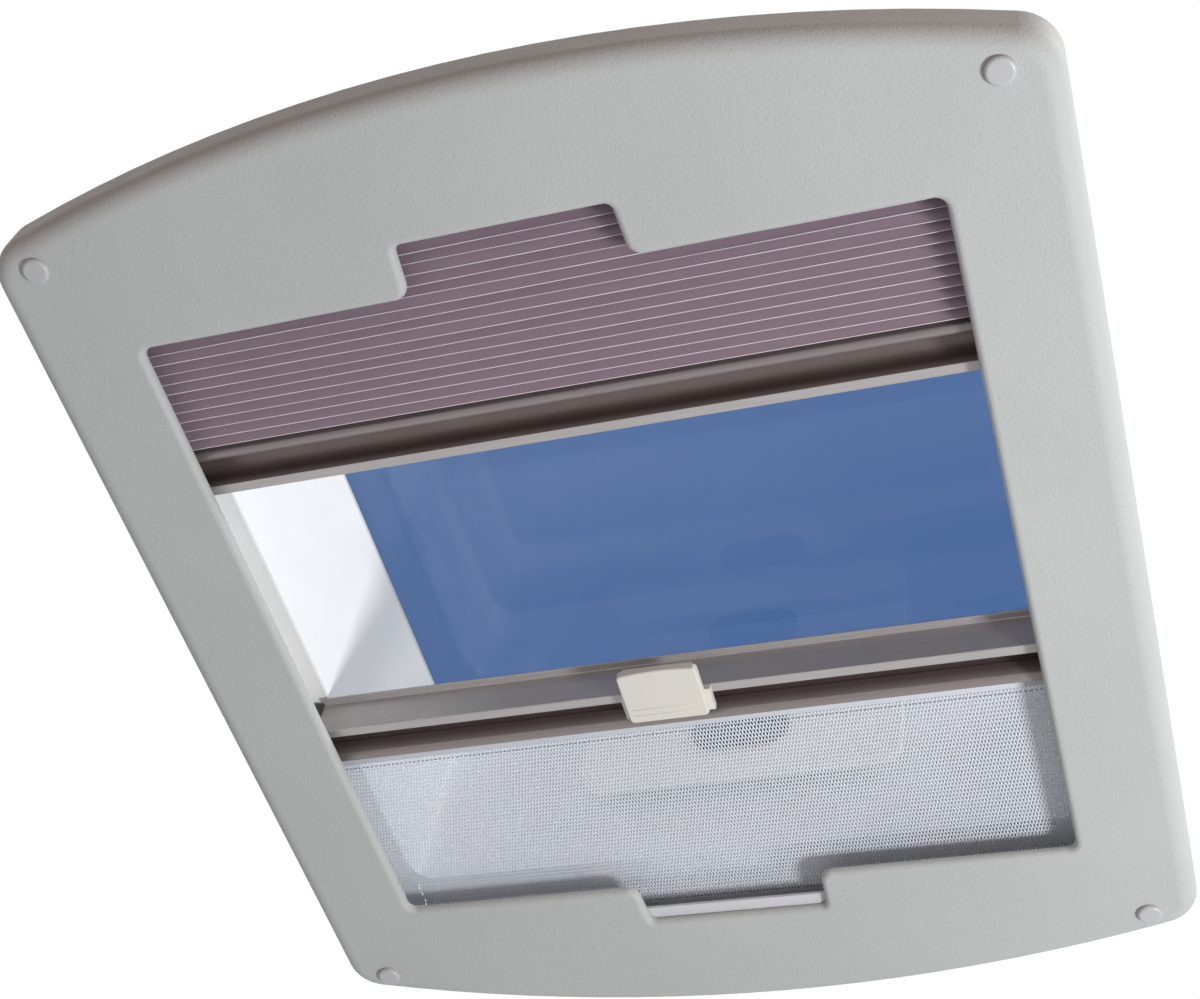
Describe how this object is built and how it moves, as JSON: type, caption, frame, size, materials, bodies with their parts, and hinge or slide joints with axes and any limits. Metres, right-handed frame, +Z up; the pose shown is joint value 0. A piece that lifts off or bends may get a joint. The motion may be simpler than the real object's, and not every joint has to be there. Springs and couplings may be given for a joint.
{
  "type": "camper roof hatch",
  "caption": "Camper roof hatch with a bowed inner trim, a pleated blackout blind and an insect screen on pull bars, a white light shaft and a hinged clear dome lid.",
  "frame": {"origin": "centre of the hatch on the level through the crowns of the trim's screw caps", "axes": "+Z up through the roof, +X along the pull bars, the blackout blind is stored on the -Y side"},
  "size_m": [0.462, 0.5398, 0.1973],
  "materials": {
    "trim": "fine leather grain, matte light grey",
    "cap": "smooth, satin light grey",
    "screw": "zinc plated, satin",
    "shaft": "smooth white moulding",
    "rail": "smooth light grey extrusion",
    "cassette": "smooth light grey",
    "roller": "satin tube",
    "bar": "satin anodised, drawn along its length",
    "slider": "moulded, dark",
    "pleat": "pleated mauve-brown fabric with pale creases",
    "mesh": "fine pale insect mesh",
    "hem": "woven edge strip, pale",
    "catch": "smooth cream moulding",
    "seal": "soft matte rubber",
    "glazing": "clear acrylic",
    "handle": "smooth cream moulding",
    "lock": "smooth dark moulding",
    "hinge": "white moulding",
    "pin": "turned steel"
  },
  "bodies": {
    "frame": {"trim_frame": "trim", "roof_frame": "shaft", "lid_seal": "seal", "blackout_cassette": "cassette", "screen_cassette": "cassette", "screen_roller": "roller", "screw_cap_near_left": "cap", "screw_cap_near_right": "cap", "screw_cap_far_left": "cap", "screw_cap_far_right": "cap", "trim_screw_near_left": "screw", "trim_screw_near_right": "screw", "trim_screw_far_left": "screw", "trim_screw_far_right": "screw", "guide_rail_left": "rail", "guide_rail_right": "rail", "hinge_bracket_left": "hinge", "hinge_bracket_right": "hinge", "hinge_pin_left": "pin", "hinge_pin_right": "pin"},
    "blackout": {"blackout_bar": "bar", "blackout_slider_left": "slider", "blackout_slider_right": "slider", "blackout_pleats": "pleat"},
    "flyscreen": {"screen_bar": "bar", "screen_slider_left": "slider", "screen_slider_right": "slider", "screen_catch": "catch", "screen_hem": "hem", "screen_mesh": "mesh"},
    "lid": {"dome_pane": "glazing", "inner_pane": "glazing", "lid_handle": "handle", "lid_lock": "lock", "hinge_leaf_left": "hinge", "hinge_leaf_right": "hinge"}
  },
  "joints": [
    {"name": "blackout_slide", "type": "slide", "parent": "frame", "child": "blackout", "axis": [0, 1, 0], "range_m": [-0.085, 0.0925], "deforming": ["blackout_pleats"]},
    {"name": "flyscreen_slide", "type": "slide", "parent": "frame", "child": "flyscreen", "axis": [0, 1, 0], "range_m": [-0.0505, 0.1255], "deforming": ["screen_mesh"]},
    {"name": "lid_hinge", "type": "hinge", "parent": "frame", "child": "lid", "pos_m": [0, -0.205, 0.1583], "axis": [1, 0, 0], "range_deg": [0, 60]}
  ]
}
